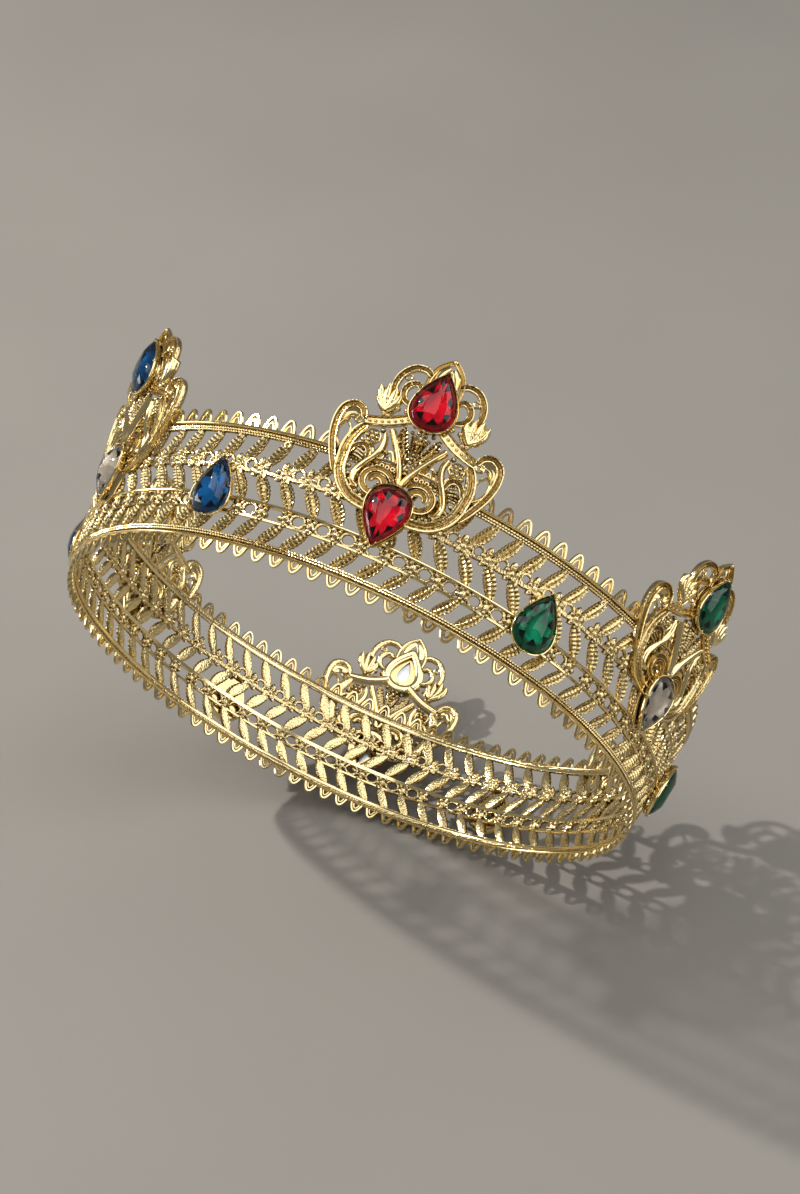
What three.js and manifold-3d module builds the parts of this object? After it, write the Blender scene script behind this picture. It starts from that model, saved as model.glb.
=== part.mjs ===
// A full round filigree crown: six pierced leaf-pattern strips soldered end to end into a flared band,
// six raised filigree plaques on the outside, and eighteen pear-cut glass stones in thin settings.
// Millimetres, +Z up. The origin is on the surface the crown stands on, in the middle of its base.
import * as THREE from 'three';
import { mergeVertices } from 'three/addons/utils/BufferGeometryUtils.js';
import Module from 'manifold-3d';

const wasm = await Module();
wasm.setup();

// ---- driving dimensions --------------------------------------------------------------------------------
const stripCount = 6;
const rimRadius = 88; // middle of the band's metal at the lower rail
const flareDegrees = 8.5; // the band leans outwards by this much
const jointGap = 0.3; // between the ends of two strips
const fitGap = 0.3; // between two pieces that are soldered or seated on each other

// the band's rows, measured up its slope from rail centre to rail centre
const lowerLeafRow = 8.1;
const knotRow = 4.1;
const middleLeafRow = 9.2;
const upperLeafRow = 11.0;

const latticeThickness = 1.4;
const railWidth = 2.3; // a plain rail with its bead line
const wireWidth = 1.2; // square wire through the middle
const knotLineWidth = 2.6; // the row of knots that the upper leaves grow from

const leavesPerStrip = 13;
const leafWidth = 3.2;
const leafStem = 1.2; // width of a leaf where it joins a rail
const leafLean = 5.2; // sideways run of a leaf from foot to tip

const picotsPerStrip = 17;
const picotWidth = 3.9;
const lowerPicotHeight = 3.9; // from the lower rail's centre to an unfiled tip
const upperPicotHeight = 4.3; // from the upper rail's centre
const tipFlat = 0.4; // filed off the lower tips, so that the crown stands level

const stoneLength = 16.8;
const stoneWidth = 12.2;
const stoneCrown = 2.2; // height of the cut above the girdle, the stone's widest line
const stonePavilion = 1.6; // depth of the pointed back
const tableShare = 0.55; // flat table as a share of the outline
const settingWall = 0.35;
const settingHeight = 2.1;
const settingTaper = 1.2; // how far the cup draws in towards its foot
const girdleDrop = 0.4; // from the cup's lip down to the girdle

const plaqueThickness = 1.0;
const plaqueRise = 10.3; // from the lower rail's centre up to the lower stone's tip
const plaqueTurn = -10.5; // degrees from a strip's middle to its plaque
const upperStoneGap = 33.5; // from the lower stone's centre to the upper stone's
const backOpening = 3.0; // metal left round the open back of each plaque stone

const bandStoneTurn = 19.5; // degrees from a strip's middle to its band stone
const bandStoneRise = 14; // from the lower rail's centre up to the band stone's centre

const facetsPerStrip = 4; // flats that the bent metal of a strip is drawn with
const plaqueFacets = 3; // and those of a plaque
const outlineSteps = 10; // sides of a stone's outline
const openingSteps = 8; // sides of the opening behind it

// ---- derived values ------------------------------------------------------------------------------------
const radians = THREE.MathUtils.degToRad;
const flare = radians(flareDegrees);
const stripLength = ((2 * Math.PI) / stripCount) * rimRadius;
const thinRailAt = lowerLeafRow;
const midWireAt = thinRailAt + knotRow;
const knotLineAt = midWireAt + middleLeafRow;
const bandHeight = knotLineAt + upperLeafRow;
const leafPitch = stripLength / leavesPerStrip;
const picotPitch = stripLength / picotsPerStrip;
const baseRise = (lowerPicotHeight - tipFlat) * Math.cos(flare);
const plaqueBack = latticeThickness / 2 + fitGap;
const plaqueSeat = plaqueBack + plaqueThickness + fitGap;
const bandSeat = latticeThickness / 2 + fitGap;
const lowerStoneRise = plaqueRise + stoneLength / 2;
const punchReach = 6; // how far a punch passes the metal on each side
const trimMargin = 0.5; // spare metal past an outline, which its cuts take away
const weldDistance = 1e-4; // corners closer than this are one corner
const flatness = 0.005; // corners that stand out of a flat by less than this are smoothed away

// ---- shared helpers ------------------------------------------------------------------------------------
// The band's own coordinates: u along the lower rail, s up the slope, t outwards through the metal.
function onBand(u, s, t) {
  const angle = u / rimRadius;
  const radius = rimRadius + s * Math.sin(flare) + t * Math.cos(flare);
  const height = baseRise + s * Math.cos(flare) - t * Math.sin(flare);
  return [radius * Math.sin(angle), -radius * Math.cos(angle), height];
}

function moveVertices(geometry, place) {
  const position = geometry.attributes.position;
  for (let i = 0; i < position.count; i += 1) {
    position.setXYZ(i, ...place(position.getX(i), position.getY(i), position.getZ(i)));
  }
  return geometry;
}

// a three.js geometry as a closed solid that can be cut
function solid(geometry) {
  geometry.deleteAttribute('normal');
  geometry.deleteAttribute('uv');
  const bare = mergeVertices(geometry, weldDistance);
  const vertProperties = new Float32Array(bare.attributes.position.array);
  const triVerts = new Uint32Array(bare.index.array);
  return new wasm.Manifold(new wasm.Mesh({ numProp: 3, vertProperties, triVerts }));
}

function geometryOf(body) {
  const mesh = body.getMesh();
  const geometry = new THREE.BufferGeometry();
  geometry.setAttribute('position', new THREE.BufferAttribute(mesh.vertProperties, 3));
  geometry.setIndex(new THREE.BufferAttribute(mesh.triVerts, 1));
  geometry.computeVertexNormals();
  return geometry;
}

// An outline of [u, s] points as a straight punch, square to the metal at its own middle, that passes
// right through it.
function punch(points) {
  const shape = new THREE.Shape(points.map(([u, s]) => new THREE.Vector2(u, s)));
  const geometry = new THREE.ExtrudeGeometry(shape, { depth: 2 * punchReach, bevelEnabled: false });
  geometry.translate(0, 0, -punchReach);
  const middle = points.reduce((sum, [u]) => sum + u, 0) / points.length / rimRadius;
  const level = Math.cos(flare);
  const outwards = [level * Math.sin(middle), -level * Math.cos(middle), -Math.sin(flare)];
  return solid(moveVertices(geometry, (u, s, t) => onBand(u, s, 0).map((v, k) => v + t * outwards[k])));
}

// sheet metal bent round the crown in flats, whose borders are at the given places along the rail
function bentSheet(borders, low, high, back, front) {
  const facets = borders.length - 1;
  const sheet = new THREE.BoxGeometry(facets, high - low, front - back, facets, 1, 1);
  sheet.translate(facets / 2, (low + high) / 2, (back + front) / 2);
  return solid(moveVertices(sheet, (x, s, t) => onBand(borders[Math.round(x)], s, t)));
}

function pierced(sheet, holes) {
  return holes.reduce((metal, hole) => metal.subtract(punch(hole)), sheet);
}

// the finished piece, with each flat that the cuts left in several triangles made whole again
function finished(body) {
  return geometryOf(solid(geometryOf(body)).simplify(flatness));
}

// Pear outline: the height goes as cos(a), and the half width as this factor times sin(a) * sin(a / 2).
const pearFactor = (3 * Math.sqrt(3)) / 4;
function pear(angle, length, width) {
  const across = (width / 2) * pearFactor * Math.sin(angle) * Math.abs(Math.sin(angle / 2));
  return [across, (length / 2) * Math.cos(angle)];
}

function pearOutline(length, width, steps) {
  return Array.from({ length: steps }, (_, i) => pear((-2 * Math.PI * i) / steps, length, width));
}

// A turned profile of [size, height] points whose circles are drawn out into pears. A size of 0 is the
// stone's own outline, and the others are set off from it, down to -stoneWidth / 2 in the middle.
function pearLathe(profile) {
  const points = profile.map(([size, height]) => new THREE.Vector2(1 + (2 * size) / stoneWidth, height));
  const lathe = new THREE.LatheGeometry(points, outlineSteps);
  return moveVertices(lathe, (x, height, z) => {
    const share = Math.hypot(x, z);
    const size = ((share - 1) * stoneWidth) / 2;
    const grow = size > 0 ? 2 * size : 0;
    const scale = size > 0 ? 1 : share;
    const [across, up] = pear(Math.atan2(-x, z), stoneLength + grow, stoneWidth + grow);
    return [across * scale, up * scale, height];
  });
}

// ---- band strip ----------------------------------------------------------------------------------------
// Slots between leaning leaves: straight ends on the two rails, and sides pinched where the leaves swell.
// The first and last run out at the strip's ends.
function leafSlots(firstFoot, lean, low, high) {
  const middle = (low + high) / 2;
  const stem = leafStem / 2;
  const swell = leafWidth / 2;
  return Array.from({ length: leavesPerStrip + 1 }, (_, i) => {
    const foot = firstFoot + (i - 1) * leafPitch;
    const next = foot + leafPitch;
    return [
      [foot + stem, low],
      [next - stem, low],
      [next + lean / 2 - swell, middle],
      [next + lean - stem, high],
      [foot + lean + stem, high],
      [foot + lean / 2 + swell, middle],
    ];
  });
}

// the waste between two pointed picots, and past the last one; side is -1 below the band and 1 above it
function picotNotches(railEdge, tip, side) {
  const past = tip + side * 2 * trimMargin;
  const slope = picotWidth / 2 / Math.abs(tip - railEdge);
  const spread = picotWidth / 2 - slope * Math.abs(past - railEdge);
  const notches = [];
  for (let i = 0; i <= picotsPerStrip; i += 1) {
    const middle = (i - picotsPerStrip / 2) * picotPitch;
    const foot = (picotPitch - picotWidth) / 2;
    const top = picotPitch / 2 - spread;
    const inner = [[middle - foot, railEdge], [middle + foot, railEdge]];
    const outer = [[middle + top, past], [middle - top, past]];
    notches.push(side > 0 ? [...inner, ...outer] : [...inner, ...outer].reverse());
  }
  return notches;
}

function bandStrip() {
  const half = (stripLength - jointGap) / 2;
  const cell = (i) => (Math.round((i * leavesPerStrip) / facetsPerStrip) - leavesPerStrip / 2) * leafPitch;
  const borders = Array.from({ length: facetsPerStrip + 1 }, (_, i) => cell(i));
  borders[0] = -half;
  borders[facetsPerStrip] = half;
  const topTip = bandHeight + upperPicotHeight;
  const thickness = latticeThickness / 2;
  const low = -lowerPicotHeight - trimMargin;
  const sheet = bentSheet(borders, low, topTip + trimMargin, -thickness, thickness);
  const leaning = -stripLength / 2 + (leafPitch - leafLean) / 2;
  const holes = [
    ...leafSlots(leaning, leafLean, railWidth / 2, thinRailAt),
    ...leafSlots(leaning + leafLean, -leafLean, midWireAt + wireWidth / 2, knotLineAt - knotLineWidth / 2),
    ...leafSlots(leaning, leafLean, knotLineAt + knotLineWidth / 2, bandHeight - railWidth / 2),
    ...picotNotches(-railWidth / 2, -lowerPicotHeight, -1),
    ...picotNotches(bandHeight + railWidth / 2, topTip, 1),
  ];
  const reach = 2 * (rimRadius + bandHeight);
  const floor = new THREE.BoxGeometry(reach, reach, lowerPicotHeight);
  floor.translate(0, 0, -lowerPicotHeight / 2);
  return finished(pierced(sheet, holes).subtract(solid(floor)));
}

// ---- plaque --------------------------------------------------------------------------------------------
// Drawn from the lower stone's tip: across, then up. Each list runs round one side and is mirrored.
const plaqueEdge = [
  [0, -0.5], [3.6, 3.4], [6.4, 8.2], [12.6, 8.4], [17.2, 12], [19.8, 19.4], // lower scroll
  [23.2, 25], [23.2, 31.5], [20, 35.4], [16.6, 34.4], // ear
  [15.6, 32.6], [9.6, 35.2], [13.4, 36.6], [15, 41.6], [12.6, 43.4], [11.6, 47.8], // shoulder, acanthus
  [7.6, 50.9], [3.9, 50], [0, 55.4], // side loop and lancet
];
const plaqueSlots = [
  [[19.9, 21.8], [21.6, 25], [21.2, 29], [19.4, 30.4], [18.2, 26]], // ear
  [[10.4, 11.8], [14.8, 12.8], [16.9, 17.6], [15.4, 20.6], [12, 16.4]], // inside the lower scroll
  [[13.2, 21.2], [16.6, 22.8], [15.8, 28.6], [12.6, 27.2]], // behind the small curl
  [[1.8, 20.6], [9.6, 22.4], [8.8, 28.8], [6.2, 29.4]], // beside the V bar
  [[8.6, 41.6], [10.4, 44.4], [8.4, 47.8], [6.9, 45.2]], // inside the side loop
];
const palmetteSlot = [[0, 22], [3.7, 29.6], [1.4, 31], [0, 27.4]];

const mirrored = (points) => points.map(([across, up]) => [-across, up]).reverse();
const onSlope = (points) => points.map(([across, up]) => [across, up + plaqueRise]);

// the open back behind a stone, which points up or down
function stoneOpening(centre, pointing) {
  const length = stoneLength - 2 * backOpening;
  const width = stoneWidth - 2 * backOpening;
  const outline = pearOutline(length, width, openingSteps);
  return outline.map(([across, up]) => [pointing * across, centre + pointing * up]);
}

function plaque() {
  const half = Math.max(...plaqueEdge.map(([across]) => across)) + trimMargin;
  const border = (i) => ((2 * i) / plaqueFacets - 1) * half;
  const borders = Array.from({ length: plaqueFacets + 1 }, (_, i) => border(i));
  const top = Math.max(...plaqueEdge.map(([, up]) => up)) + plaqueRise + trimMargin;
  const sheet = bentSheet(borders, 0, top, plaqueBack, plaqueBack + plaqueThickness);
  const edge = onSlope([...plaqueEdge, ...mirrored(plaqueEdge.slice(1, -1))]);
  const slots = plaqueSlots.flatMap((slot) => [onSlope(slot), mirrored(onSlope(slot))]);
  const palmette = onSlope([...palmetteSlot, ...mirrored(palmetteSlot.slice(1, -1))]);
  const openings = [stoneOpening(lowerStoneRise, -1), stoneOpening(lowerStoneRise + upperStoneGap, 1)];
  return finished(pierced(sheet.intersect(punch(edge)), [...slots, palmette, ...openings]));
}

// ---- stones and settings -------------------------------------------------------------------------------
const girdleHeight = settingHeight - girdleDrop;

function stone() {
  const profile = [
    [-stoneWidth / 2, girdleHeight - stonePavilion],
    [0, girdleHeight],
    [(-stoneWidth / 2) * (1 - tableShare), girdleHeight + stoneCrown],
    [-stoneWidth / 2, girdleHeight + stoneCrown],
  ];
  return pearLathe(profile);
}

function setting() {
  const inner = fitGap;
  const outer = fitGap + settingWall;
  const profile = [
    [outer - settingTaper, 0],
    [outer, settingHeight],
    [inner, settingHeight],
    [inner - settingTaper, 0],
    [outer - settingTaper, 0],
  ];
  return pearLathe(profile);
}

// ---- materials -----------------------------------------------------------------------------------------
const gold = { color: 0xd9b45a, roughness: 0.24, metalness: 1 };
const glass = (color) => ({ color, roughness: 0.04, metalness: 0 });
const ruby = 0xb4081c;
const sapphire = 0x0a3a7c;
const emerald = 0x04603c;
const champagne = 0xd8c3a4;
// one row for each plaque, counted towards +X from the front one: upper, lower and next band stone
const stoneColours = [
  [ruby, ruby, emerald],
  [emerald, champagne, emerald],
  [sapphire, champagne, emerald],
  [ruby, ruby, sapphire],
  [emerald, champagne, sapphire],
  [sapphire, champagne, sapphire],
];

// ---- assembly ------------------------------------------------------------------------------------------
function part(name, geometry, finish) {
  const mesh = new THREE.Mesh(geometry, new THREE.MeshStandardMaterial(finish));
  mesh.name = name;
  return mesh;
}

// a place on the slope where a flat piece sits square to the metal: x across, y up the slope, z outwards
function seat(turnDegrees, rise, out, pointing) {
  const place = new THREE.Group();
  place.position.set(...onBand(0, rise, out));
  place.rotation.x = Math.PI / 2 + flare;
  const turn = new THREE.Group();
  turn.rotation.z = radians(turnDegrees);
  turn.add(place);
  const spin = new THREE.Group();
  spin.rotation.z = pointing > 0 ? 0 : Math.PI;
  place.add(spin);
  return [turn, spin];
}

function setStone(crown, label, number, colour, turnDegrees, rise, out, pointing) {
  const [turn, spin] = seat(turnDegrees, rise, out, pointing);
  spin.add(part(`${label}_setting_${number}`, setting(), gold));
  spin.add(part(`${label}_stone_${number}`, stone(), glass(colour)));
  crown.add(turn);
}

const crown = new THREE.Group();
const strip = bandStrip();
const raisedPlaque = plaque();
for (let i = 0; i < stripCount; i += 1) {
  const number = i + 1;
  const plaqueAt = (360 / stripCount) * i;
  const stripAt = plaqueAt - plaqueTurn;
  const bandPiece = part(`band_strip_${number}`, strip, gold);
  bandPiece.rotation.z = radians(stripAt);
  const plaquePiece = part(`plaque_${number}`, raisedPlaque, gold);
  plaquePiece.rotation.z = radians(plaqueAt);
  crown.add(bandPiece, plaquePiece);
  const [upper, lower, band] = stoneColours[i % stoneColours.length];
  setStone(crown, 'upper', number, upper, plaqueAt, lowerStoneRise + upperStoneGap, plaqueSeat, 1);
  setStone(crown, 'lower', number, lower, plaqueAt, lowerStoneRise, plaqueSeat, -1);
  setStone(crown, 'band', number, band, stripAt + bandStoneTurn, bandStoneRise, bandSeat, 1);
}

export default crown;
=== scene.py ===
# %% [markdown]
# # A filigree crown with foil-backed stones
# The crown is soldered together from six pierced band strips, six raised plaques and eighteen pear-cut
# stones in thin settings. The plain working model gives every place and size. It is loaded first and never
# moved: each fine piece below is made round it, rides on it and takes the place of one of its nodes.

# %% Load the working model
import math

import bpy
import numpy as np
from mathutils import Matrix, Vector


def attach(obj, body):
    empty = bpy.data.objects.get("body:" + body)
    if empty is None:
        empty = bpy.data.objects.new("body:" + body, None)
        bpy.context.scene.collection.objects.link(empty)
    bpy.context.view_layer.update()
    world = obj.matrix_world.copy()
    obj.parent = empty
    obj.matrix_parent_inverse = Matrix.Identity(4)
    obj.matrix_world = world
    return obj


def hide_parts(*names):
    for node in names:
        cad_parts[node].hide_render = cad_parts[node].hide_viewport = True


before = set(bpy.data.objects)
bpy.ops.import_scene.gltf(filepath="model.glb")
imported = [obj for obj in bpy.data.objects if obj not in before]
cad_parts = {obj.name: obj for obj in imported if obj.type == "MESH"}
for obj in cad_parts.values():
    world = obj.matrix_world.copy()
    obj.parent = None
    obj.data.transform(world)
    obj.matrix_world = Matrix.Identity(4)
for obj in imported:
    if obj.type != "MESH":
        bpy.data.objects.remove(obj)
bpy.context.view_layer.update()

MM = 0.001  # the arrays below are in millimetres, and Blender's meshes in metres

# %% [markdown]
# ## The shape of the band
# The band is a slice of a cone, so a strip could be bent from a flat model with a Simple Deform modifier.
# Working out the place of every point with one formula is exact instead, and it serves plaques as well:
# `along` runs round the lower rail, `up` climbs the slope, and `out` goes through the metal, towards us.

# %% Band sizes, and the formula that bends flat work round the crown
STRIPS = 6
RIM_RADIUS = 88.0  # middle of the metal at the lower rail
FLARE = math.radians(8.5)
RAIL_HEIGHT = 3.46  # of the lower rail's centre above the tips that the crown stands on
JOINT_GAP = 0.3
THIN_RAIL = 8.1  # heights up the slope, from the lower rail's centre
MID_WIRE = 12.2
KNOT_LINE = 21.4
BAND_HEIGHT = 32.4
STRIP_LENGTH = math.tau / STRIPS * RIM_RADIUS
STRIP_TURN = 10.5  # degrees from a plaque to the middle of the strip behind it


def plaque_turn(number):
    """Degrees round the crown from the first plaque to this one."""
    return 360 / STRIPS * (number - 1)


def on_band(points, turn=0.0):
    """Bends flat work round the crown. The first value, divided by the rim's radius, is an angle round the
    axis; the second climbs the slope, and the third stands off it, square to the slope."""
    along, up, out = points[..., 0], points[..., 1], points[..., 2]
    angle = along / RIM_RADIUS + math.radians(turn)
    radius = RIM_RADIUS + up * math.sin(FLARE) + out * math.cos(FLARE)
    height = RAIL_HEIGHT + up * math.cos(FLARE) - out * math.sin(FLARE)
    return np.stack([radius * np.sin(angle), -radius * np.cos(angle), height], axis=-1)


print("strip length, mm:", round(STRIP_LENGTH, 2))

# %% [markdown]
# ## Closed surfaces from rings of points
# Rails, leaves, scrolls, beads and wires are all the same kind of surface: rings of points, one after
# another, joined by four-sided faces and closed at both ends. Keeping whole rows of such shapes in one
# array lets numpy place hundreds of leaves at once, which a loop with `bpy.ops` calls couldn't do quickly.

# %% Join rings of points into closed surfaces
NO_QUADS = np.zeros((0, 4), int)
NO_TRIANGLES = np.zeros((0, 3), int)


def ring_faces(rings, sides, loop):
    """Face corners for a grid of rings x sides points. Each quad joins two neighbours on one ring to the
    same two on the next. A fan round a middle point closes each end, unless the last ring meets the first."""
    ring, side = np.meshgrid(np.arange(rings if loop else rings - 1), np.arange(sides), indexing="ij")
    after, beside = (ring + 1) % rings, (side + 1) % sides
    corners = [ring * sides + side, ring * sides + beside, after * sides + beside, after * sides + side]
    quads = np.stack(corners, axis=-1).reshape(-1, 4)
    if loop:
        return quads, NO_TRIANGLES
    start = np.arange(sides)
    end = start + (rings - 1) * sides
    first = np.full(sides, rings * sides)
    fans = [[first, np.roll(start, -1), start], [first + 1, end, np.roll(end, -1)]]
    return quads, np.concatenate([np.stack(fan, axis=-1) for fan in fans])


def signed_volume(points, quads, triangles):
    """Sum of corner . (next x last) over all triangles: positive when the faces point outwards."""
    halves = np.concatenate([quads[:, [0, 1, 2]], quads[:, [0, 2, 3]], triangles])
    a, b, c = (points[halves[:, k]] for k in range(3))
    return float(np.sum(a * np.cross(b, c)))


print("quads and triangles of a rod with 4 rings of 6:", *(len(part) for part in ring_faces(4, 6, False)))


# %% Gather surfaces into one piece of metal
class Metalwork:
    """Closed surfaces that are soldered into one piece. Each has a tooled value, from 0 where the metal is
    polished to 1 where it is stamped with a grain."""

    def __init__(self):
        self.points, self.quads, self.triangles, self.tooled, self.count = [], [], [], [], 0

    def add(self, rings, loop=False, tooled=0.0):
        """Adds one surface, or one for each copy where the array has a leading axis of copies."""
        rings = rings.reshape((-1,) + rings.shape[-3:])
        copies, length, sides, _ = rings.shape
        points = rings.reshape(copies, length * sides, 3)
        if not loop:
            ends = np.stack([rings[:, 0].mean(axis=1), rings[:, -1].mean(axis=1)], axis=1)
            points = np.concatenate([points, ends], axis=1)
        quads, triangles = ring_faces(length, sides, loop)
        if signed_volume(points[0] - points[0].mean(axis=0), quads, triangles) < 0:
            quads, triangles = quads[:, ::-1], triangles[:, ::-1]
        shift = self.count + np.arange(copies)[:, None, None] * points.shape[1]
        self.quads.append((quads + shift).reshape(-1, 4))
        self.triangles.append((triangles + shift).reshape(-1, 3))
        self.points.append(points.reshape(-1, 3))
        self.tooled.append(np.full(copies * points.shape[1], tooled))
        self.count += copies * points.shape[1]

    def add_pair(self, rings, **how):
        """Adds a shape and its mirror image on the other side of the middle."""
        self.add(rings, **how)
        self.add(rings * [-1, 1, 1], **how)

    def arrays(self):
        """Points, quads, triangles and the tooled values, as whole arrays."""
        return [np.concatenate(part) for part in (self.points, self.quads, self.triangles, self.tooled)]


print("a new piece of metalwork has", Metalwork().count, "points")

# %% Turn arrays into a Blender mesh
CREASE = math.radians(38)  # edges sharper than this stay crisp


def make_mesh(name, points, quads, triangles, materials, values=None, smooth=True):
    """A mesh object at the origin, from points in millimetres and arrays of face corners. values holds the
    numbers that are stored on the points under a name, for the materials to read."""
    mesh = bpy.data.meshes.new(name)
    mesh.vertices.add(len(points))
    mesh.vertices.foreach_set("co", (points * MM).astype(np.float32).ravel())
    corners = np.concatenate([quads.ravel(), triangles.ravel()]).astype(np.int32)
    sizes = np.concatenate([np.full(len(quads), 4), np.full(len(triangles), 3)])
    mesh.loops.add(len(corners))
    mesh.polygons.add(len(sizes))
    mesh.polygons.foreach_set("loop_start", (np.cumsum(sizes) - sizes).astype(np.int32))
    mesh.polygons.foreach_set("vertices", corners)
    for label, amounts in (values or {}).items():
        mesh.attributes.new(label, "FLOAT", "POINT").data.foreach_set("value", amounts.astype(np.float32))
    mesh.update(calc_edges=True)
    mesh.validate()
    if smooth:
        mesh.shade_smooth()
        mesh.set_sharp_from_angle(angle=CREASE)
    for material in materials:
        mesh.materials.append(material)
    piece = bpy.data.objects.new(name, mesh)
    bpy.context.scene.collection.objects.link(piece)
    return piece


def take_place(piece, name, slot):
    """Lets a fine piece ride on the crown in place of the node with this name."""
    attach(piece, "root")
    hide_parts(name)


print("smooth up to", round(math.degrees(CREASE)), "degrees between faces")

# %% [markdown]
# ## Paths and profiles
# A scroll in filigree is a strip of metal with its own cross-section, laid along a curve. Blender's curves
# with a bevel object can do that, but their joints twist at tight curls. Here a profile is carried along
# the path by hand: its first value goes across the path, and its second stands out of the metal.

# %% Paths
def through(points, steps):
    """A smooth path through a few points. Between two of them it is the cubic whose slope at each one is half
    the step from the point before it to the point after it."""
    given = np.asarray(points, float)
    before, after = 2 * given[0] - given[1], 2 * given[-1] - given[-2]
    guide = np.concatenate([[before], given, [after]])
    at = np.linspace(0, len(given) - 1, steps)
    first = np.minimum(at.astype(int), len(given) - 2)
    share = (at - first)[:, None]
    a, b, c, d = (guide[first + k] for k in range(4))
    return b + 0.5 * share * (c - a + share * (2 * a - 5 * b + 4 * c - d + share * (3 * b - a - 3 * c + d)))


def polar(centre, radius, angle):
    """Centre plus radius x (cos, sin) of the angle."""
    return np.stack([centre[0] + radius * np.cos(angle), centre[1] + radius * np.sin(angle)], axis=-1)


def spiral(centre, start, turns, outer, inner, steps):
    """A path that winds clockwise from the angle start, while its radius shrinks evenly."""
    angle = math.radians(start) - np.linspace(0, math.tau * turns, steps)
    return polar(centre, np.linspace(outer, inner, steps), angle)


def circle(centre, radius, steps):
    """Evenly spaced points round the centre, without repeating the first one."""
    return polar(centre, radius, np.arange(steps) / steps * math.tau)


print("a path through 3 points, in 5 steps, starts at", through([(0, 0), (1, 1), (2, 0)], 5)[0])


# %% Carry a profile along a path
def sweep(path, profile, half_width, height, lift=0.0, loop=False):
    """Each ring is path + across x half_width x profile[0], at lift + height x profile[1] out of the metal,
    where across is the path's direction turned a quarter in the face of the metal."""
    path, profile = np.asarray(path, float), np.asarray(profile, float)
    if loop:
        heading = np.roll(path, -1, axis=-2) - np.roll(path, 1, axis=-2)
    else:
        heading = np.gradient(path, axis=-2)
    heading /= np.linalg.norm(heading, axis=-1, keepdims=True)
    across = np.stack([heading[..., 1], -heading[..., 0]], axis=-1)
    steps = path.shape[-2]
    width = np.broadcast_to(half_width, (steps,))[:, None] * profile[:, 0]
    flat = path[..., :, None, :] + across[..., :, None, :] * width[..., None]
    rise = np.broadcast_to(height, (steps,))[:, None] * profile[:, 1]
    out = np.broadcast_to(lift, (steps,))[:, None] + rise
    return np.concatenate([flat, np.broadcast_to(out, flat.shape[:-1])[..., None]], axis=-1)


def taper(steps, middle, start=0.25, end=0.25, power=0.5):
    """A width that swells from start, through its whole value, to end: the shares of middle go as a sine
    raised to power, and never fall below the end shares."""
    share = np.linspace(0, 1, steps)
    floor = start + (end - start) * share
    return middle * (floor + (1 - floor) * np.sin(math.pi * share) ** power)


# %% Cross-sections: across from -1 to 1, and out of the metal
SMOOTH = circle((0, 0), 1, 12)
ROUND = circle((0, 0), 1, 8)
FINE = circle((0, 0), 1, 6)
RIDGE = [(-1, -1), (1, -1), (1, 0.2), (0.5, 0.88), (0, 1), (-0.5, 0.88), (-1, 0.2)]
PLATE = [(-1, -1), (1, -1), (1, 1), (-1, 1)]
PUFFED = [(-1, 0), (-0.7, -0.28), (-0.25, -0.42), (0.25, -0.42), (0.7, -0.28), (1, 0)]  # a rounded back
RIDGED = PUFFED + [(1, 0.6), (0.86, 0.98), (0.62, 0.94), (0.46, 0.48), (0.24, 0.4), (0, 0.74),
                   (-0.24, 0.4), (-0.46, 0.48), (-0.62, 0.94), (-0.86, 0.98), (-1, 0.6)]
CHANNEL = PUFFED + [(1, 0.75), (0.88, 1), (0.7, 0.95), (0.55, 0.4), (-0.55, 0.4), (-0.7, 0.95),
                    (-0.88, 1), (-1, 0.75)]
BLADE = PUFFED + [(1, 0.3), (0.72, 0.78), (0.3, 1), (-0.1, 0.98), (-0.55, 0.78), (-1, 0.25)]
DISH = PUFFED + [(1, 0.8), (0.8, 1), (0.45, 0.55), (0, 0.4), (-0.45, 0.55), (-0.8, 1), (-1, 0.8)]
print("profiles:", len(ROUND), len(RIDGED), len(CHANNEL), "points")


# %% Small domed beads, the grains of the filigree
def beads(centres, half_along, half_up, height, lift=0.0, sides=7):
    """Flattened balls: centre + (half_along cos b cos a, half_up cos b sin a, lift + height sin b), where a
    goes round each ball and b climbs from its back to its front."""
    centres = np.asarray(centres, float).reshape(-1, 1, 1, 2)
    climb = np.radians([-72, -30, 12, 46, 78])[:, None]
    turn = np.arange(sides) / sides * math.tau
    along = centres[..., 0] + half_along * np.cos(climb) * np.cos(turn)
    up = centres[..., 1] + half_up * np.cos(climb) * np.sin(turn)
    out = np.broadcast_to(lift + height * np.sin(climb) * np.ones(sides), along.shape)
    return np.stack([along, up, out], axis=-1)


def petals(centres, count, reach, size, height, lift=0.0, start=0.0):
    """Beads set in a ring of count round each centre, at the distance reach."""
    angle = math.radians(start) + np.arange(count) / count * math.tau
    spread = np.asarray(centres, float).reshape(-1, 1, 2) + polar((0, 0), reach, angle)
    return beads(spread.reshape(-1, 2), size, size, height, lift)


print("one bead has", beads([(0, 0)], 1, 1, 1).size // 3, "points")

# %% [markdown]
# ## Gold plate
# Light yellow gold over brass reads as gold because of what it reflects, so the shader stays a plain metal
# whose colour, gloss and surface change a little from place to place. Two values stored on the points steer
# it: `tooled` gives stamped work a fine grain, whose crevices get painted shade, and `recess_shade` paints
# shade low in the relief, towards dark amber. Sums of shader values are written as Python, with a small
# class.

# %% Shader sums written as Python
class Value:
    """A shader socket that can be added, subtracted, multiplied and raised to a power."""

    def __init__(self, finish, socket):
        self.finish, self.socket = finish, socket

    def join(self, operation, first, second):
        return self.finish.add("ShaderNodeMath", {"operation": operation}, {0: first, 1: second})

    def __add__(self, other):
        return self.join("ADD", self, other)

    def __sub__(self, other):
        return self.join("SUBTRACT", self, other)

    def __rsub__(self, other):
        return self.join("SUBTRACT", other, self)

    def __mul__(self, other):
        return self.join("MULTIPLY", self, other)

    def __pow__(self, other):
        return self.join("POWER", self, other)

    __radd__, __rmul__ = __add__, __mul__


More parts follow.
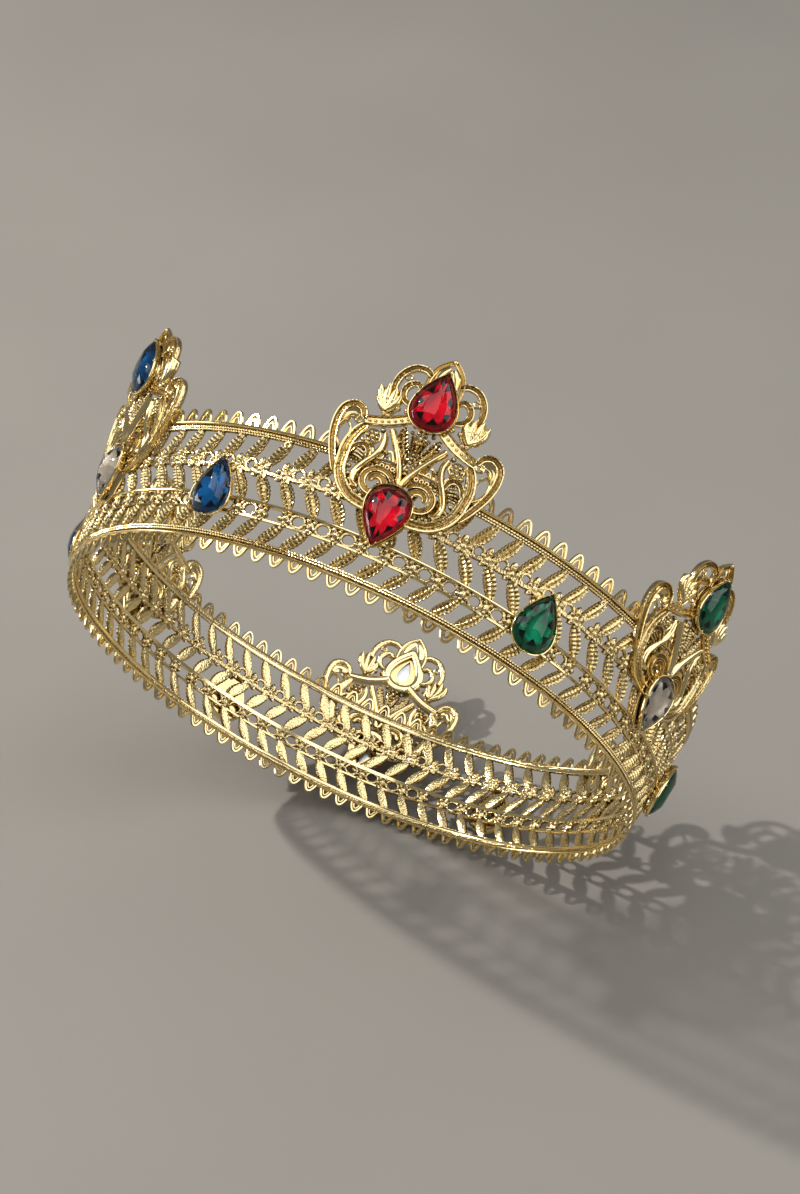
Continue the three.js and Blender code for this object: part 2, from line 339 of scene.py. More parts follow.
# %% A material under construction
MIX_SHARE, MIX_LOW, MIX_HIGH, MIXED = 0, 6, 7, 2  # a colour Mix node's three inputs, and its output


class Finish:
    """A node material, and the few kinds of value that the finishes below are made of."""

    def __init__(self, name):
        self.material = bpy.data.materials.new(name)
        self.material.use_nodes = True
        self.tree = self.material.node_tree
        self.tree.nodes.clear()

    def add(self, kind, settings=None, sockets=None, output=0):
        """Adds a node: its settings come first, and then each socket takes a number, a colour or a link."""
        node = self.tree.nodes.new(kind)
        for key, setting in (settings or {}).items():
            setattr(node, key, setting)
        for key, given in (sockets or {}).items():
            if isinstance(given, Value):
                self.tree.links.new(given.socket, node.inputs[key])
            else:
                node.inputs[key].default_value = given
        return Value(self, node.outputs[output]) if len(node.outputs) else None

    def blend(self, share, low, high):
        """A colour between low and high."""
        sockets = {MIX_SHARE: share, MIX_LOW: low, MIX_HIGH: high}
        return self.add("ShaderNodeMix", {"data_type": "RGBA"}, sockets, output=MIXED)

    def pattern(self, kind, scale):
        """The first value of a texture in the piece's own space; scale counts its lumps to the metre."""
        place = self.add("ShaderNodeTexCoord", output="Object")
        return self.add(kind, None, {"Vector": place, "Scale": scale})

    def noise(self, scale):
        """Cloudy values near a half."""
        return self.pattern("ShaderNodeTexNoise", scale)

    def cells(self, scale):
        """Distance from the middle of a rounded grain, towards 1 in the crevices between grains."""
        return self.pattern("ShaderNodeTexVoronoi", scale)

    def attribute(self, name):
        """A number stored on the piece's points."""
        return self.add("ShaderNodeAttribute", {"attribute_name": name}, output="Fac")

    def bump(self, height, strength, depth):
        """A surface that is raised by up to depth, in metres, where height is 1."""
        return self.add("ShaderNodeBump", None, {"Strength": strength, "Distance": depth, "Height": height})

    def surface(self, sockets):
        """Ends the material with a Principled BSDF."""
        shader = self.add("ShaderNodeBsdfPrincipled", None, sockets)
        self.add("ShaderNodeOutputMaterial", None, {"Surface": shader})
        return self.material


print("colour Mix sockets:", MIX_SHARE, MIX_LOW, MIX_HIGH, MIXED)

# %% The gold finish
PALE_GOLD = (0.96, 0.80, 0.44, 1)
WARM_GOLD = (0.92, 0.73, 0.35, 1)
# painted shade: the dark amber that hollows and the crevices between grains are tinted towards
PAINTED_SHADE_GOLD = (0.20, 0.11, 0.02, 1)
CLOUD = 260.0  # lumps to the metre, as in the two below
GRAIN = 1500.0
RIPPLE = 700.0
GRAIN_DEPTH = 0.00028  # metres


def gold_plate(name):
    """Clouded gold, from pale to warm. Painted shade turns it to dark amber by recess_shade x (0.3 + 0.6
    tooled), plus the square of tooled x crevice between the grains of stamped work. Tooled metal is also
    rougher, and grained."""
    finish = Finish(name)
    recess_shade, tooled = finish.attribute("recess_shade"), finish.attribute("tooled")
    cloud = finish.noise(CLOUD)
    worn = finish.blend(cloud, PALE_GOLD, WARM_GOLD)
    crevice = finish.cells(GRAIN)
    # painted shade: the colour darkens low in the relief and in the crevices between grains
    colour = finish.blend(recess_shade * (0.3 + 0.6 * tooled) + (tooled * crevice) ** 2, worn, PAINTED_SHADE_GOLD)
    relief = tooled ** 2 * (1 - crevice) + 0.08 * finish.noise(RIPPLE)
    sockets = {"Base Color": colour, "Metallic": 1.0, "Normal": finish.bump(relief, 0.7, GRAIN_DEPTH)}
    sockets["Roughness"] = 0.08 + 0.08 * cloud + 0.12 * tooled
    return finish.surface(sockets)


gold = gold_plate("gold_plate")
print("gold nodes:", len(gold.node_tree.nodes))


# %% Finish a metal piece: bend it, colour it and put it in its place
def metal_piece(name, work, turn, middle, reach):
    """Bends metalwork round the crown as one piece that stands for the node of the same name. recess_shade,
    the share of painted shade, is 1 at the middle of the metal's thickness and falls to 0 at its two faces,
    which are a reach away."""
    points, quads, triangles, tooled = work.arrays()
    # painted shade, strongest midway through the metal's thickness, low in the relief
    recess_shade = 1 - np.clip(np.abs(points[:, 2] - middle) / reach, 0, 1)
    values = {"tooled": tooled, "recess_shade": recess_shade}
    piece = make_mesh(name + "_fine", on_band(points, turn), quads, triangles, [gold], values)
    take_place(piece, name, "gold_plate")
    return len(quads) * 2 + len(triangles)


# %% [markdown]
# ## The band strip
# A strip is pierced sheet with raised work: a plain rail and two lines of grain along each edge, picots
# outside them, three rows of leaning leaves, and two rows of knots that the leaves grow from. It could be
# cut from a plane with booleans; laying each element as its own closed ribbon gives rounder, cleaner metal.

# %% Rails, wires and lines of grain
HALF_STRIP = (STRIP_LENGTH - JOINT_GAP) / 2
RAIL = 0.5, 0.85  # half width and half height, as in the four below
WEB = 0.85, 0.2
RIB = 0.55, 0.3
THIN_WIRE = 0.45, 0.55
RIDGED_WIRE = 0.55, 0.95
WEB_INSET = 1.3  # distances inwards from the rail
RIB_INSET = 1.5
GRAIN_PITCH = 0.85
GRAIN_ROWS = ((1.15, 0.0), (1.85, 0.5))  # inset, and a shift in pitches


def level(up, steps=25):
    """A straight path along the whole strip at one height."""
    return np.stack([np.linspace(-HALF_STRIP, HALF_STRIP, steps), np.full(steps, up)], axis=-1)


def grain_line(up, shift):
    """A wire that swells into a grain and draws in again: its radius goes with |cos| of the place on it."""
    grains = 2 * HALF_STRIP / GRAIN_PITCH
    steps = int(grains) * 4
    place = np.linspace(0, 1, steps) * grains + shift
    radius = 0.1 + 0.3 * np.abs(np.cos(math.pi * place))
    return sweep(level(up, steps), FINE, radius, 1.2 * radius, lift=0.2)


def rails(work):
    """Along each edge a plain rail, then a thin web with two lines of grain on its face and a rib on its
    back. Between them run a thin wire and a ridged one."""
    for edge, inwards in ((0.0, 1), (BAND_HEIGHT, -1)):
        work.add(sweep(level(edge), SMOOTH, *RAIL, lift=0.1))
        work.add(sweep(level(edge + inwards * WEB_INSET), PLATE, *WEB, lift=-0.38), tooled=1.0)
        for inset, shift in GRAIN_ROWS:
            work.add(grain_line(edge + inwards * inset, shift), tooled=0.5)
        work.add(sweep(level(edge + inwards * RIB_INSET), ROUND, *RIB, lift=-0.5))
    work.add(sweep(level(THIN_RAIL), FINE, *THIN_WIRE))
    work.add(sweep(level(MID_WIRE), RIDGE, *RIDGED_WIRE, lift=0.25))


strip_work = Metalwork()
rails(strip_work)
print("points in the rails and wires:", strip_work.count)

# %% [markdown]
# ### Leaves
# A leaf is an almond with a raised rim, a midrib and side veins. One could be sculpted and copied with an
# Array modifier, but the rows lean differently, and one function of foot and tip makes all three.

# %% Leaves
LEAVES = 13
LEAF_PITCH = STRIP_LENGTH / LEAVES
LEAF_LEAN = 5.2
LEAF_RINGS = 17
LEAF_SECTION = np.array([(-1, 0.1), (-0.86, 0.85), (-0.44, -0.1), (0, 0.9), (0.44, -0.1), (0.86, 0.85),
                         (1, 0.1), (0.75, -0.6), (0, -0.85), (-0.75, -0.6)])
GROOVES, RIMS = [2, 4], [1, 5]  # the section's points beside the midrib, and those along the edges
FEET = -STRIP_LENGTH / 2 + (LEAF_PITCH - LEAF_LEAN) / 2 + np.arange(LEAVES) * LEAF_PITCH


def leaves(feet, tips, half_width, bow):
    """One leaf from each foot to its tip. v runs from foot to tip, and the middle line bows sideways as
    sin(pi v). The half width grows from 0.5 as that sine to the power 0.55. Every second ring is narrower,
    with higher grooves and lower rims, and reads as a pair of side veins."""
    share = np.linspace(0, 1, LEAF_RINGS)
    feet, tips = np.asarray(feet, float), np.asarray(tips, float)
    line = feet[:, None] + (tips - feet)[:, None] * share[:, None]
    side = np.stack([(tips - feet)[:, 1], -(tips - feet)[:, 0]], axis=-1)
    side /= np.linalg.norm(side, axis=-1, keepdims=True)
    swell = np.sin(math.pi * share)
    path = line + side[:, None] * (bow * swell)[:, None]
    vein = np.arange(LEAF_RINGS) % 2
    width = (0.5 + (half_width - 0.5) * swell ** 0.55) * (1 - 0.12 * vein)
    rings = sweep(path, LEAF_SECTION, width, 0.6 + 0.35 * swell)
    rings[..., GROOVES, 2] += 0.6 * vein[:, None]
    rings[..., RIMS, 2] -= 0.25 * vein[:, None]
    return rings


# each row: the foot's shift and height, the tip's shift and height, half the width, and the bow
LEAF_ROWS = ((0.0, 1.7, LEAF_LEAN, THIN_RAIL + 0.5, 1.72, 0.35),
             (0.4, KNOT_LINE - 1.5, LEAF_LEAN, MID_WIRE + 0.3, 1.95, -0.35),
             (1.1, KNOT_LINE + 1.0, LEAF_LEAN + 0.4, BAND_HEIGHT - 1.6, 1.75, 0.35))


def row(shift, up):
    """One place for each leaf of a row, at one height."""
    return np.stack([FEET + shift, np.full(LEAVES, up)], axis=-1)


def leaf_rows(work):
    """The three rows: the lower and upper leaves lean one way, and the middle ones hang the other way."""
    for foot, foot_up, tip, tip_up, half_width, bow in LEAF_ROWS:
        work.add(leaves(row(foot, foot_up), row(tip, tip_up), half_width, bow), tooled=0.7)


leaf_rows(strip_work)
print("points with", LEAVES * len(LEAF_ROWS), "leaves:", strip_work.count)

# %% [markdown]
# ### Knots
# Where the leaves meet there are small flowers: a boss with petals, a bud, and arms that reach to the next
# one round a hole. Metaballs could blend them; beads and short wires look the same with far fewer faces.

# %% Knots that the leaves grow from
STAMPED = 0.8  # how far the knots are grained


def twig(work, path, half_width, height, loop=False):
    """Adds a stamped wire along a path, or one for each copy of it."""
    work.add(sweep(path, FINE, half_width, height, loop=loop), loop=loop, tooled=STAMPED)


def upper_knots(work):
    """A boss with five petals, a bud above it, a stem to the leaf, a two-lobed collar below, and arms with a
    hole above them that reach to the next knot or to the strip's ends."""
    bosses = row(0.0, KNOT_LINE)
    work.add(beads(bosses, 1.35, 1.25, 1.15), tooled=STAMPED)
    work.add(petals(bosses, 5, 1.65, 0.95, 0.95, start=20), tooled=1.0)
    bud = through([(0, 0.5), (-0.3, 1.9), (-0.1, 3.6)], 6)
    twig(work, bosses[:, None] + bud, taper(6, 1.0, 0.8, 0.12), taper(6, 0.8, 0.8, 0.15))
    stem = through([(0.2, 0.1), (1.2, 0.6), (2.2, 2.2)], 6)
    twig(work, bosses[:, None] + stem, 0.8, 0.7)
    for side in (-1, 1):
        lobe = through([(0.3, -0.7), (0.3 + side * 1.1, -1.1), (0.3 + side * 2.0, -2.2)], 7)
        twig(work, bosses[:, None] + lobe, taper(7, 0.95, 0.9, 0.15), 0.8)
    arm = through([(0.8, -0.4), (LEAF_PITCH / 2, -0.9), (LEAF_PITCH - 0.8, -0.4)], 8)
    twig(work, bosses[:-1, None] + arm, 0.75, 0.65)
    for end, boss in ((-HALF_STRIP, FEET[0]), (HALF_STRIP, FEET[-1])):
        twig(work, [(end, KNOT_LINE - 0.9), (boss, KNOT_LINE - 0.4)], 0.75, 0.65)
    holes = circle((0.56 * LEAF_PITCH, 0.85), 1.55, 10) + bosses[:-1, None]
    twig(work, holes, 0.5, 0.6, loop=True)


def lower_knots(work):
    """Small bosses with seven petals between the thin rail and the middle wire, and oval holes between."""
    bosses = row(LEAF_LEAN, (THIN_RAIL + MID_WIRE) / 2)
    work.add(beads(bosses, 1.15, 1.4, 1.05), tooled=STAMPED)
    work.add(petals(bosses, 5, 1.45, 0.85, 0.85, start=50), tooled=1.0)
    work.add(petals(bosses, 2, 2.0, 0.75, 0.8, start=115), tooled=1.0)
    oval = circle((LEAF_PITCH / 2, 0), 1.0, 12) * [1.95, 1.7] - [0.475 * LEAF_PITCH, 0]
    twig(work, oval + bosses[:-1, None], 0.45, 0.6, loop=True)


upper_knots(strip_work)
lower_knots(strip_work)
print("points with", LEAVES * 2, "knots:", strip_work.count)

# %% Picots: pointed loops of wire outside each rail
PICOTS = 17
PICOT_PITCH = STRIP_LENGTH / PICOTS
PICOT_START = 0.35  # outside the rail's centre
LOWER_PICOT, UPPER_PICOT = 2.75, 3.5  # how far they reach
PICOT_LOOPS = ((1.8, 1.0, 0.47, 11), (0.95, 0.6, 0.28, 7))  # half width, share of reach, wire, steps


def picots(work, edge, side, reach):
    """A loop whose height falls from its tip as |x| to the power 2.1, where x goes from -1 to 1 across it,
    and a finer loop inside it."""
    middles = (np.arange(PICOTS) - (PICOTS - 1) / 2) * PICOT_PITCH
    for width, share, wire, steps in PICOT_LOOPS:
        across = np.sin(np.linspace(-math.pi / 2, math.pi / 2, steps))
        rise = side * reach * share * (1 - np.abs(across) ** 2.1)
        loop = np.stack([width * across, edge + rise], axis=-1)
        copies = loop + np.stack([middles, np.zeros(PICOTS)], axis=-1)[:, None]
        work.add(sweep(copies, FINE, wire, wire * 1.25), tooled=0.1)


picots(strip_work, -PICOT_START, -1, LOWER_PICOT)
picots(strip_work, BAND_HEIGHT + PICOT_START, 1, UPPER_PICOT)
print("points with picots", round(PICOT_PITCH, 2), "mm apart:", strip_work.count)

# %% A small eyelet under the upper grain lines at the joint, then six strips
STRIP_REACH = 0.7  # half the metal's thickness, as far as the painted shade goes
eyelet = circle((HALF_STRIP - 1.2, BAND_HEIGHT - 2.9), 0.75, 10)
strip_work.add(sweep(eyelet, FINE, 0.32, 0.4, lift=0.2, loop=True), loop=True)
for number in range(1, STRIPS + 1):
    turn = plaque_turn(number) + STRIP_TURN
    count = metal_piece(f"band_strip_{number}", strip_work, turn, 0.0, STRIP_REACH)
print("triangles in a strip:", count)

# %% [markdown]
# ## The plaque
# A plaque is stamped from sheet in scrolls of several cross-sections: a broad ridged C frame, looped ears,
# channelled shoulders, polished bars in a V, ribbed spirals, a palmette and a crest of loops. Each scroll
# could be a bevelled curve object; here each is a short path with a profile, drawn for one side and
# mirrored. Heights are measured from the lower stone's tip, and `BACK` is where the sheet begins.

# %% One scroll, and one small ring
TIP_RISE = 10.3  # of the lower stone's tip above the lower rail
BACK = 1.0  # how far the plaque's back stands off the middle of the band's metal


def from_tip(points):
    """Turns heights above the lower stone's tip into heights up the slope."""
    return np.asarray(points, float) + [0, TIP_RISE]


def scroll(work, points, profile, width, height, steps=26, lift=0.0, tooled=0.2, ends=(0.5, 0.5)):
    """A profile carried along a smooth path and its mirror image. ends are its shares of width there."""
    path = from_tip(through(points, steps))
    swell = taper(steps, width, ends[0], ends[1], 0.35)
    work.add_pair(sweep(path, profile, swell, height, lift=BACK + lift), tooled=tooled)


def ringlet(work, centre, radius, wire, steps, lift, profile=ROUND):
    """A small ring and its mirror image; wire holds half its wire's width and height."""
    path = from_tip(circle(centre, radius, steps))
    work.add_pair(sweep(path, profile, *wire, BACK + lift, loop=True), loop=True)


plaque_work = Metalwork()
print("the lower stone's tip is", TIP_RISE, "mm above the lower rail")


# %% Scrolls of the plaque's lower half
def outer_scrolls(work):
    """The C frame, and ears outside it with their teardrop rims, lobes and eyelets."""
    c_frame = [(3.6, 9.6), (7.0, 9.8), (10.6, 10.9), (13.6, 13.6), (15.3, 17), (15.8, 20.4), (15.9, 24),
               (14.9, 27.6), (13.4, 30.2)]
    scroll(work, c_frame, RIDGED, 1.6, 1.6, steps=44, tooled=0.6, ends=(0.8, 0.45))
    ear = [(16.4, 15.6), (18.6, 20.2), (20.3, 25), (20.9, 29.6), (20.1, 33.2), (17.8, 34.7), (15.6, 33.8),
           (14.6, 31.6)]
    scroll(work, ear, RIDGED, 1.1, 1.7, steps=44, tooled=0.6)
    rim = [(17.0, 21.6), (19.2, 24.4), (19.8, 27.4), (18.7, 29.6), (17.0, 28.2), (16.3, 25.2)]
    scroll(work, rim, ROUND, 0.45, 0.75, steps=30, lift=0.6, tooled=0.1)
    lobe = [(19.5, 29.8), (18.7, 31.8), (17.0, 32.4), (15.9, 31.4)]
    scroll(work, lobe, DISH, 1.5, 1.0, steps=16, lift=0.1, tooled=0.0, ends=(0.3, 0.5))
    eyelet = from_tip(spiral((15.5, 30.9), 60, 1.2, 1.25, 0.5, 18))
    work.add_pair(sweep(eyelet, ROUND, 0.4, 0.65, BACK + 0.9))


def inner_scrolls(work):
    """The spirals either side of the lower stone, hooks that climb from them, and small arches with rungs."""
    coil = from_tip(spiral((5.7, 16.3), 155, 1.42, 4.1, 1.45, 60))
    work.add_pair(sweep(coil, RIDGED, taper(60, 0.95, 0.6, 0.5, 0.4), 1.6, BACK), tooled=0.5)
    hook = [(8.3, 29.6), (7.7, 26.9), (8.4, 23.8), (10.4, 20.4), (11.7, 17.2), (11.2, 14.5), (9.4, 13.6)]
    scroll(work, hook, BLADE, 1.05, 1.6, steps=40, tooled=0.0, ends=(0.5, 0.4))
    arch = [(15.0, 21.4), (13.9, 23.9), (12.0, 24.9), (10.5, 23.8), (9.9, 21.4)]
    scroll(work, arch, RIDGED, 0.8, 1.4, steps=24, tooled=0.6)
    for up in (21.4, 22.3, 23.2):
        rung = [(11.2, up - 0.5), (12.4, up), (13.5, up + 0.2)]
        scroll(work, rung, FINE, 0.3, 0.45, steps=5, lift=0.6, tooled=0.5, ends=(0.8, 0.8))


outer_scrolls(plaque_work)
inner_scrolls(plaque_work)
print("points in the lower scrolls:", plaque_work.count)


# %% Shoulders, V bars, rungs and rosettes in the middle
def middle_work(work):
    """Polished bars in a V under beaded shoulders, crossbars with rings, rosettes, and grains in the gaps."""
    shoulder = [(14.6, 31.2), (11.8, 31.9), (8.8, 32.9), (6.0, 34.4), (3.4, 36.2)]
    scroll(work, shoulder, CHANNEL, 1.45, 1.7, steps=30, tooled=0.1, ends=(0.8, 0.8))
    along = from_tip(through(shoulder, 9)[1:-1])
    work.add_pair(beads(along, 0.5, 0.42, 0.75, BACK + 0.75), tooled=0.4)
    bar = [(0.25, 17.8), (1.7, 22.0), (4.0, 26.4), (6.9, 31.0)]
    scroll(work, bar, BLADE, 1.05, 2.3, steps=20, tooled=0.0, ends=(0.7, 0.9))
    crossbar = [(2.0, 22.6), (4.6, 22.9), (7.8, 22.5)]
    scroll(work, crossbar, ROUND, 0.36, 0.55, steps=10, lift=0.7, tooled=0.1, ends=(1, 1))
    for across in (3.1, 4.5, 5.9):
        ringlet(work, (across, 21.2), 0.48, (0.22, 0.35), 8, 0.7, FINE)
    rosette = from_tip([(11.0, 27.7)])
    work.add_pair(beads(rosette, 0.75, 0.75, 1.1, BACK + 0.6), tooled=0.3)
    work.add_pair(petals(rosette, 6, 1.25, 0.62, 0.8, BACK + 0.5), tooled=0.8)
    ringlet(work, (11.0, 27.7), 1.95, (0.34, 0.55), 18, 0.5)
    grains = [(11.9, 14.9), (10.9, 13.4), (12.9, 16.3), (9.4, 12.4), (7.9, 11.8), (13.6, 18.3), (3.4, 11.2),
              (6.4, 24.9), (7.0, 20.7), (1.2, 20.4), (9.2, 30.2), (12.9, 26.2), (16.9, 20.0), (16.4, 18.2)]
    work.add_pair(beads(from_tip(grains), 0.75, 0.75, 0.9, BACK + 0.4), tooled=1.0)


middle_work(plaque_work)
print("points with the middle:", plaque_work.count)


# %% The palmette between the bars
def palmette(work):
    """A stem of grains, two veined leaves on each side of it, and a small flower under the upper stone."""
    for foot, tip, half_width, bow, lift in (((0.9, 24.6), (4.6, 33.0), 1.5, 0.6, 0.7),
                                             ((0.6, 26.4), (1.9, 31.8), 0.9, -0.3, 0.8)):
        leaf = leaves(from_tip([foot]), from_tip([tip]), half_width, bow)
        work.add_pair(leaf * [1, 1, 1.2] + [0, 0, BACK + lift], tooled=1.0)
    rise = np.arange(21.4, 30.5, 1.1)
    stem = np.stack([np.zeros(len(rise)), rise], axis=-1)
    work.add(beads(from_tip(stem), 0.6, 0.55, 0.9, BACK + 0.6), tooled=0.8)
    flower = from_tip([(0.0, 31.6)])
    work.add(beads(flower, 0.8, 0.8, 1.2, BACK + 0.6), tooled=0.5)
    work.add(petals(flower, 6, 1.45, 0.7, 0.9, BACK + 0.5), tooled=1.0)
    work.add(petals(from_tip([(0.0, 33.4)]), 9, 2.6, 0.6, 0.8, BACK + 0.3), tooled=1.0)


palmette(plaque_work)
print("points with the palmette:", plaque_work.count)


# %% The crest round the upper stone
def crest_loops(work):
    """A lancet over the stone's tip with a bead on top, loops at its sides, and curls with small rings."""
    lancet = [(4.1, 44.8), (4.0, 48.2), (2.8, 51.6), (0.2, 54.4)]
    scroll(work, lancet, RIDGED, 0.62, 1.3, steps=24, ends=(0.7, 0.9))
    work.add(beads(from_tip([(0.0, 54.4)]), 0.75, 0.8, 0.9, BACK + 0.5))
    scroll(work, [(2.6, 47.6), (1.7, 50.6), (0.5, 52.6)], DISH, 1.1, 0.5, steps=14, tooled=0.0)
    loop = [(3.8, 48.6), (5.4, 49.6), (8.0, 49.2), (10.1, 46.9), (11.0, 44.0), (10.9, 41.2)]
    scroll(work, loop, RIDGED, 0.95, 1.4, steps=34, tooled=0.6, ends=(0.7, 0.8))
    curl = [(5.9, 38.9), (7.7, 40.2), (8.4, 42.4), (7.6, 44.4), (5.9, 45.2), (4.9, 44.2)]
    scroll(work, curl, RIDGED, 0.9, 1.4, steps=30, tooled=0.6)
    scroll(work, [(7.3, 44.4), (8.0, 45.3)], ROUND, 0.4, 0.5, steps=5, lift=0.5, ends=(1, 1))
    ringlet(work, (8.6, 46.1), 0.8, (0.36, 0.5), 12, 0.6)


def tassels(work):
    """A four-lobed leaf on each side that opens outwards, with two bars across its neck, two husks round it
    and grains at its foot."""
    for across, up in ((13.8, 41.6), (12.0, 42.6), (10.0, 42.0), (8.4, 40.4)):
        lobe = [(10.5, 35.4), (10.5 + 0.75 * (across - 10.5), 38.2), (across, up)]
        scroll(work, lobe, BLADE, 1.1, 1.5, steps=15, lift=0.5, tooled=0.4, ends=(0.6, 0.15))
    for up in (37.2, 38.4):
        bar = [(9.5, up), (10.9, up + 0.35), (12.5, up + 0.1)]
        scroll(work, bar, FINE, 0.26, 0.4, steps=8, lift=1.7, tooled=0.5, ends=(0.8, 0.8))
    for husk in ([(9.3, 34.6), (8.4, 36.8), (9.3, 39.2)], [(11.0, 34.9), (12.9, 36.8), (12.6, 39.6)]):
        scroll(work, husk, ROUND, 0.4, 0.6, steps=14, lift=0.5, tooled=0.4)
    grains = [(9.6, 34.3), (10.7, 34.6), (10.2, 35.6), (8.0, 37.0), (5.9, 37.2)]
    work.add_pair(beads(from_tip(grains), 0.75, 0.75, 1.0, BACK + 0.6), tooled=0.8)


crest_loops(plaque_work)
tassels(plaque_work)
print("points with the crest:", plaque_work.count)

# %% Seats behind the stones, then six plaques
STONE_LENGTH = 16.8
STONE_WIDTH = 12.2
LOWER_STONE = TIP_RISE + STONE_LENGTH / 2  # height of its middle up the slope
UPPER_STONE = LOWER_STONE + 33.5
RIM_INSET = 1.2
PLAQUE_REACH = 0.9
PEAR_FACTOR = 3 * math.sqrt(3) / 4


def pear(steps, length, width, phase=0.0):
    """Pear outline: up = length/2 cos a, across = width/2 x factor x sin a x |sin(a/2)|, with its tip on top.
    The factor makes the widest place as wide as asked."""
    angle = (np.arange(steps) + phase) / steps * math.tau
    across = width / 2 * PEAR_FACTOR * np.sin(angle) * np.abs(np.sin(angle / 2))
    return np.stack([across, length / 2 * np.cos(angle)], axis=-1)


def stone_rim(work, middle, pointing):
    """A channelled rim behind a stone, which the scrolls are soldered to."""
    outline = pear(36, STONE_LENGTH - 2 * RIM_INSET, STONE_WIDTH - 2 * RIM_INSET)
    path = outline * pointing + [0, middle]
    work.add(sweep(path, CHANNEL, RIM_INSET, 1.0, BACK, loop=True), loop=True, tooled=0.2)


stone_rim(plaque_work, LOWER_STONE, -1)
stone_rim(plaque_work, UPPER_STONE, 1)
for number in range(1, STRIPS + 1):
    turn = plaque_turn(number)
    count = metal_piece(f"plaque_{number}", plaque_work, turn, BACK + 0.5, PLAQUE_REACH)
print("triangles in a plaque:", count)

# %% [markdown]
# ## Stones and settings
# Each stone is a pear-cut piece of coloured glass with a mirror foil behind it, which is what makes a cheap
# stone flash. The cut is modelled facet by facet and shaded flat, and the back faces carry the foil, so
# light goes in, bounces off it and comes out again coloured. A thin gold cup with five small claws holds it.

# %% Seats for the stones
GIRDLE = 1.7  # height of the stone's widest line above its seat
CROWN_HEIGHT = 2.2
PAVILION = 1.6
PLAQUE_SEAT = 2.3  # how far the seats stand off the middle of the band's metal
BAND_SEAT = 1.0
BAND_STONE = 14.0
BAND_STONE_TURN = 30.0  # degrees from a plaque to the next band stone


def at_seat(points, turn, up, out, pointing):
    """Sets flat work square to the slope: its first value goes sideways, its second up the slope and its
    third outwards. Then it turns about the crown's axis. pointing is -1 for a stone with its tip down."""
    slope = np.array([[1, 0, 0], [0, -math.sin(FLARE), math.cos(FLARE)],
                      [0, -math.cos(FLARE), -math.sin(FLARE)]])
    placed = points * [pointing, pointing, 1] @ slope + on_band(np.array([0.0, up, out]))
    angle = math.radians(turn)
    spin = np.array([[math.cos(angle), math.sin(angle), 0], [-math.sin(angle), math.cos(angle), 0],
                     [0, 0, 1]])
    return placed @ spin


print("stone middles up the slope, mm:", round(LOWER_STONE, 1), round(UPPER_STONE, 1), BAND_STONE)

# %% A pear brilliant
FACETS = 8
STONE_MIDDLE = np.array([0, -0.6])  # the rings of facets shrink towards it
KITE_SHARE = 0.78
TABLE_SHARE = 0.50
BACK_SHARE = 0.45


def stone_ring(steps, share, height, phase=0.0):
    """The stone's outline shrunk to a share of its size, at a height above the seat. phase, in steps, turns
    the points along the outline."""
    flat = STONE_MIDDLE + (pear(steps, STONE_LENGTH, STONE_WIDTH, phase) - STONE_MIDDLE) * share
    return np.column_stack([flat, np.full(steps, height)])


def facet_rows(rows):
    """Triangles from rows of three arrays of corner numbers. A number on its own is shared by its row."""
    return np.concatenate([np.stack(np.broadcast_arrays(*corners), axis=-1) for corners in rows])


def brilliant():
    """Rings of points from one pear outline: girdle, kite tips and table in front, and a second girdle, a
    ring and the keel behind. Each kite tip joins two table corners and three girdle points. Returns the
    points, the triangles, front ones first, and how many are in front of the girdle."""
    girdle = stone_ring(2 * FACETS, 1.0, GIRDLE, 0.4)
    kites = stone_ring(FACETS, KITE_SHARE, GIRDLE + 0.52 * CROWN_HEIGHT, 0.7)
    table = stone_ring(FACETS, TABLE_SHARE, GIRDLE + CROWN_HEIGHT, 0.2)
    waist = stone_ring(2 * FACETS, 1.0, GIRDLE - 0.25, 0.4)
    under = stone_ring(FACETS, BACK_SHARE, GIRDLE - 0.62 * PAVILION, 0.7)
    middles = [[0, -1.2, GIRDLE - PAVILION], [0, 0.6, GIRDLE + CROWN_HEIGHT]]
    points = np.concatenate([girdle, kites, table, waist, under, middles])
    i, j = np.arange(FACETS), np.arange(2 * FACETS)
    after, before, beside = (i + 1) % FACETS, (i - 1) % FACETS, (j + 1) % (2 * FACETS)
    even, odd, next_even = 2 * i, 2 * i + 1, 2 * after
    kite, corner, below, keel = (FACETS * step for step in (2, 3, 6, 7))
    wall = 4 * FACETS
    front = facet_rows([
        (kite + i, even, odd), (kite + i, odd, next_even), (kite + i, corner + after, corner + i),
        (corner + i, kite + before, even), (corner + i, even, kite + i),
        (keel + 1, corner + i, corner + after)])
    side = facet_rows([(j, wall + j, wall + beside), (j, wall + beside, beside)])
    back = facet_rows([
        (below + i, wall + odd, wall + even), (below + i, wall + next_even, wall + odd),
        (below + i, below + before, wall + even), (keel, below + before, below + i)])
    return points, np.concatenate([front, side, back]), len(front)


stone_points, stone_facets, front_count = brilliant()
print("triangles of a stone:", len(stone_facets))

# %% [markdown]
# ### Glass and foil
# The glass could be a glossy coloured surface, but that looks flat; transmission with a metal back gives
# dark and bright facets that change as the crown turns.

# %% Glass, foil and the stones themselves
TINT_CLOUD = 90.0  # lumps to the metre, as in the two below
POLISH = 400.0
FOIL_CLOUD = 500.0
FOIL_DEPTH = 0.0001  # metres
SILVER = (0.78, 0.82, 0.88, 1)
DULL_SILVER = (0.62, 0.66, 0.73, 1)


def coloured_glass(name, colour, deep):
    """Clear coloured glass: light is tinted each time it passes the surface, more in some places."""
    finish = Finish(name)
    tint = finish.blend(finish.noise(TINT_CLOUD), colour, deep)
    sockets = {"Base Color": tint, "Roughness": 0.012 + 0.01 * finish.noise(POLISH), "IOR": 1.47}
    sockets["Transmission Weight"] = 1.0
    return finish.surface(sockets)


